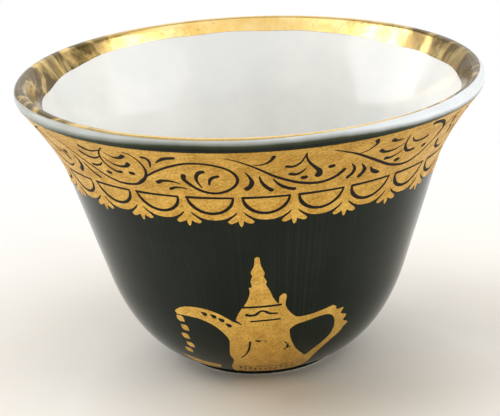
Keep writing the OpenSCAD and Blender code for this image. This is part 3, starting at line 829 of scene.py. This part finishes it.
# %% [markdown]
# ## Clear glaze
# Inside, the cup is white porcelain seen through clear glaze. It could be glass over a white layer, but that
# is slow to render and looks the same, so it is one glossy white surface. What makes it real is small: a
# slight change of tint, a soft waviness that bends the reflections, and a few brown pinholes.

# %% The lining and the base
clear, clear_shader = new_material("clear_glaze", IOR=1.5)
clear_at = coordinates(clear_shader)
clear_tint = mask(clear_at, Size=90, Low=0.35, High=0.65)
clear_pin = mask(clear_at, Size=1900, Low=0.77, High=0.8)
clear_white = mixed(clear_tint, (0.69, 0.7, 0.69), (0.75, 0.75, 0.73))
vary(clear_shader, Base_Color=mixed(clear_pin, clear_white, (0.4, 0.36, 0.3)),
     Roughness=ranged(clear_tint, 0.12, 0.2))
wavy(clear_shader, Size=120, Height=20 * MICRON)

# %% [markdown]
# ## Green glaze
# The outside is so dark a green that it looks black but for its reflections. Glaze runs off a sharp or round
# edge while it melts, so over the lip it thins out, first to olive and then to the white of the porcelain.
# Two ramps on the height paint that. Noise keeps the edge from being a ruled line, and towards both sides the
# pale reaches lower. The pale is painted lighter and bluer towards the right and greyer on the left: painted
# light.
# Molten glaze also runs down a little, so faint upright streaks change its colour and its gloss.

# %% Where the green glaze thins out over the lip
green, green_shader = new_material("green_glaze", IOR=1.45, Specular_IOR_Level=0.2)
green_at = coordinates(green_shader)
green_x = axis(green_shader, "X")
green_z = axis(green_shader, "Z")
edge_noise = ranged(mask(green_at, Size=200, Low=0.2, High=0.8), -0.07 * MM, 0.07 * MM)
right_lean = ranged(green_x, 0, 0.8 * MM, 11 * MM, 27 * MM)
left_lean = ranged(green_x, 0.9 * MM, 0, -31 * MM, -9 * MM)
edge_height = total(green_z, edge_noise, right_lean, left_lean)
olive_fade = ranged(edge_height, 0, 1, 40.4 * MM, 41.1 * MM)
lip_fade = ranged(edge_height, 0, 1, 40.85 * MM, 41.5 * MM)

# The lines left open in the border are printed matt, so they stay dark.
printed = total(ranged(green_z, 0, 1, 28.8 * MM, 29.6 * MM), ranged(green_z, 1, 0, 39.8 * MM, 40.1 * MM),
                operation="MINIMUM")

# %% Colour and gloss of the green glaze. Its faint upright streaks change round the cup, but not up it
green_around = placed(placed(green_at, "MULTIPLY", (1, 1, 0)), "NORMALIZE")
green_upright = mask(green_around, Size=60, Low=0.4, High=0.75)
green_cloud = mask(green_at, Size=140, Low=0.3, High=0.7)
green_smear = mask(green_at, Size=150, Low=0.25, High=0.75)
green_pin = mask(green_at, Size=1500, Low=0.76, High=0.79)
green_streak = times(green_upright, ranged(green_cloud, 0.3, 1))
green_deep = mixed(green_cloud, (0.0025, 0.006, 0.0025), (0.0045, 0.0095, 0.0045))
green_deep = mixed(green_streak, green_deep, (0.011, 0.0145, 0.011))
green_deep = mixed(green_pin, green_deep, (0.05, 0.05, 0.04))
green_deep = mixed(printed, green_deep, (0.012, 0.008, 0.006))
green_deep = mixed(olive_fade, green_deep, (0.06, 0.07, 0.035))
# Painted light: the pale of the lip is mixed lighter and bluer towards the right side and greyer on the left.
painted_side_light = total(ranged(green_x, 0, 0.8, -22 * MM, 24 * MM), ranged(green_smear, 0, 0.2))
green_pale = mixed(painted_side_light, (0.36, 0.38, 0.35), (0.72, 0.76, 0.8))
vary(green_shader, Base_Color=mixed(lip_fade, green_deep, green_pale),
     Roughness=total(ranged(green_smear, 0.08, 0.16), ranged(green_pin, 0, 0.2),
                     ranged(green_upright, 0, 0.07), times(printed, 0.5)))
wavy(green_shader, Size=160, Height=10 * MICRON)

# %% [markdown]
# ## Burnished gold
# The gold inside the lip is rubbed bright, so it is a metal with a low roughness. A perfect mirror would
# look like jewellery. Here the gold is thin: ripples change its colour and small thin places show brown.
# Towards the sides, most at the right end, wide dark swirls are painted into its colour as painted
# reflections of dark things round the cup.

# %% Painted dark reflections at the two sides of the band
bright, bright_shader = new_material("bright_gold", Metallic=1.0)
bright_at = coordinates(bright_shader)
bright_x = axis(bright_shader, "X")
# Painted reflections: dark swirls are mixed into the gold's colour at both sides, more at the right end.
painted_reflection_sides = ranged(total(bright_x, 0, operation="ABSOLUTE"), 0, 0.95, 17 * MM, 25 * MM)
painted_reflection_swirl = mask(bright_at, Size=80, Low=0.36, High=0.57, Swirl=3.0)
painted_reflection_right = ranged(bright_x, 0, 0.45, 24 * MM, 29 * MM)
painted_reflection_dark = total(total(painted_reflection_swirl, painted_reflection_right), 1, operation="MINIMUM")

# %% Colour and gloss of the burnished gold
bright_ripple = mask(bright_at, Size=330, Low=0.3, High=0.7)
bright_fine = mask(bright_at, Size=1300, Low=0.3, High=0.7)
bright_thin = mask(bright_at, Size=700, Low=0.6, High=0.8)
bright_colour = mixed(bright_ripple, (0.88, 0.6, 0.2), (0.97, 0.74, 0.33))
bright_colour = mixed(bright_thin, bright_colour, (0.5, 0.3, 0.1))
# Painted reflections: here the gold is darkened to dark brown towards its sides.
bright_colour = mixed(times(painted_reflection_sides, painted_reflection_dark), bright_colour, (0.12, 0.08, 0.03))
vary(bright_shader, Base_Color=bright_colour, Roughness=ranged(bright_fine, 0.12, 0.3))
wavy(bright_shader, Size=190, Height=40 * MICRON)

# %% [markdown]
# ## Matt gold
# The printed gold outside was never rubbed, so it is grainy and soft. Its grain, blotches and slanting brush
# streaks add up to one tone, and the tone sets the colour, the roughness and a fine bump together, as on the
# real film, where a thin place is darker and rougher at once. Scratches and flecks of wear show the glaze.
# The pattern follows the flat sheet's own map, so that it isn't pulled long on the flare.

# %% Tone and wear of the matt gold
matt, matt_shader = new_material("matt_gold")
matt_at = coordinates(matt_shader, "UV")
matt_grain = mask(matt_at, Size=2800, Low=0.3, High=0.7)
matt_blotch = mask(matt_at, Size=430, Low=0.32, High=0.68)
matt_streak = mask(matt_at, scratches, Turn=(0, 0, math.radians(-24)), Scale=(260, 3600, 1),
                   Low=0.3, High=0.7)
matt_low = ranged(axis(matt_shader, "Z"), 0.08, -0.05, 14 * MM, 26 * MM)
tone = total(matt_low, times(matt_grain, 0.4), times(matt_blotch, 0.3), times(matt_streak, 0.24))
matt_scratch = mask(matt_at, scratches, Turn=(0, 0, math.radians(52)), Scale=(220, 5200, 1),
                    Low=0.7, High=0.75)
matt_fleck = mask(matt_at, Size=2100, Low=0.7, High=0.75)
worn = total(matt_scratch, matt_fleck, operation="MAXIMUM")

# %% Colour, gloss and bump of the matt gold
matt_colour = mixed(tone, (0.46, 0.24, 0.035), (1, 0.66, 0.17))
vary(matt_shader, Base_Color=mixed(worn, matt_colour, (0.06, 0.04, 0.02)),
     Metallic=ranged(worn, 1.0, 0.4), Roughness=ranged(tone, 0.54, 0.36))
bump(matt_shader, total(times(matt_grain, 16 * MICRON), times(matt_streak, 12 * MICRON),
                        times(worn, -8 * MICRON)))

# %% [markdown]
# ## Seating the pieces
# A finished piece rides on the cup's one body and hides the CAD piece that it stands for. Nothing is moved
# here: every piece was made in its place.

# %% Seating every piece
seat(clay, bare, "porcelain_body")
seat(lining, clear, "clear_glaze_lining")
seat(base_glaze, clear, "clear_glaze_base")
seat(coat, green, "green_glaze_coat")
seat(band, bright, "inner_gold_band")
seat(border, matt, "gold_border")
seat(figure, matt, "coffee_pot_figure")

# %% [markdown]
# ## The floor
# The cup stands on a plain pale floor. Near the cup a darker, warmer shadow is painted into its colour, and
# further off it turns to plain white. More light would make it white too, but it would burn out the
# porcelain. So the white is in the floor's own colour: it shines only for the camera and in reflections,
# and the floor keeps the cup's shadow.

# %% The floor's colour, with a painted shadow near the cup
bpy.ops.object.select_all(action="DESELECT")
bpy.ops.mesh.primitive_plane_add(size=4)
floor = bpy.context.object
floor.name = "floor"
pale, pale_shader = new_material("pale_floor", Roughness=0.8)
pale_at = coordinates(pale_shader)
pale_away = placed(pale_at, "DISTANCE", (0.004, -0.018, 0))
pale_cloud = mask(pale_at, Size=25, Low=0.3, High=0.7)
pale_tint = mixed(pale_cloud, (0.82, 0.8, 0.76), (0.86, 0.84, 0.8))
# Painted shadow: within 3 cm of the cup the colour turns dark and warm.
vary(pale_shader, Base_Color=mixed(ranged(pale_away, 0, 1, 0, 0.03), (0.45, 0.4, 0.32), pale_tint))

# %% The white of the floor further off, for the camera and in reflections
pale_tree = pale.node_tree
pale_rays = add_node(pale_tree, "LightPath").outputs
pale_seen = total(pale_rays["Is Camera Ray"], pale_rays["Is Glossy Ray"], pale_rays["Is Transmission Ray"])
white_part = times(ranged(pale_away, 0, 1, 0.045, 0.12), total(pale_seen, 1, operation="MINIMUM"))
white = add_node(pale_tree, "Emission", Strength=1.0)
floor_mix = add_node(pale_tree, "MixShader")
for entry, part in zip(floor_mix.inputs, (white_part, pale_shader.outputs[0], white.outputs[0])):
    feed(entry, part)
dress(pale_tree.nodes["Material Output"], Surface=floor_mix.outputs[0])
floor.data.materials.append(pale)
print("the floor is", round(floor.dimensions.x, 1), "m wide")

# %% [markdown]
# ## Light
# The cup was seen by daylight from two sides. A sun would give hard shadows and sharp highlights on the
# gold, so there are three large soft lights: a window on each side and a faint ceiling. The room itself is
# cloudy, light and darker in places, which gives the glaze and the gold something to reflect.

# %% The lights
cup_middle = (0, 0, 0.03)


def soft_light(name, place, size, watts):
    """A large square light at a place, turned towards the cup."""
    bpy.ops.object.light_add(type="AREA", location=place)
    light = bpy.context.object
    light.name = name
    light.data.size = size
    light.data.energy = watts
    light.rotation_mode = "QUATERNION"
    light.rotation_quaternion = (Vector(cup_middle) - Vector(place)).to_track_quat("-Z", "Y")
    print(name, "has", watts, "W and is", size, "m wide")


soft_light("left_window", (-0.87, 0.22, 0.5), 0.85, 7)
soft_light("right_window", (0.86, -0.2, 0.55), 0.85, 4.8)
soft_light("ceiling", (0, -0.35, 1.1), 1.5, 3.6)

# %% The room
world = bpy.data.worlds.new("room")
bpy.context.scene.world = world
world.use_nodes = True
room_light = world.node_tree.nodes["Background"]
room_parts = mask(coordinates(room_light, "Generated"), Size=1.6, Low=0.35, High=0.65)
dress(room_light, Color=mixed(room_parts, (0.42, 0.39, 0.35), (1, 1, 0.98)), Strength=1.08)
print("the room's strength is", round(room_light.inputs["Strength"].default_value, 2))

# %% [markdown]
# ## The camera
# The camera stands where the photograph was taken, about 22 cm in front of the cup and 10 cm above the table.
# It could be placed by eye, but a small cup seen from close by shows every error in the shape of its lip. So
# its place, its aim and its roll were fitted to the outline of the cup, and are kept here as plain numbers.

# %% The camera
camera_place = Vector((0, -220.92, 101.44)) * MM
camera_aim = Vector((-0.717, 0, 21.195)) * MM
camera_roll = math.radians(-2.618)
camera_data = bpy.data.cameras.new("camera")
camera_data.sensor_width = 36
camera_data.lens = 118.5
camera_data.clip_start = 0.01
camera = bpy.data.objects.new("camera", camera_data)
bpy.context.scene.collection.objects.link(camera)
camera.location = camera_place
camera.rotation_mode = "QUATERNION"
camera.rotation_quaternion = ((camera_aim - camera_place).to_track_quat("-Z", "Y")
                              @ Quaternion((0, 0, 1), camera_roll))
bpy.context.scene.camera = camera
bpy.context.scene.view_settings.view_transform = "Standard"
print("the camera is", round((camera_aim - camera_place).length, 3), "m from the cup")
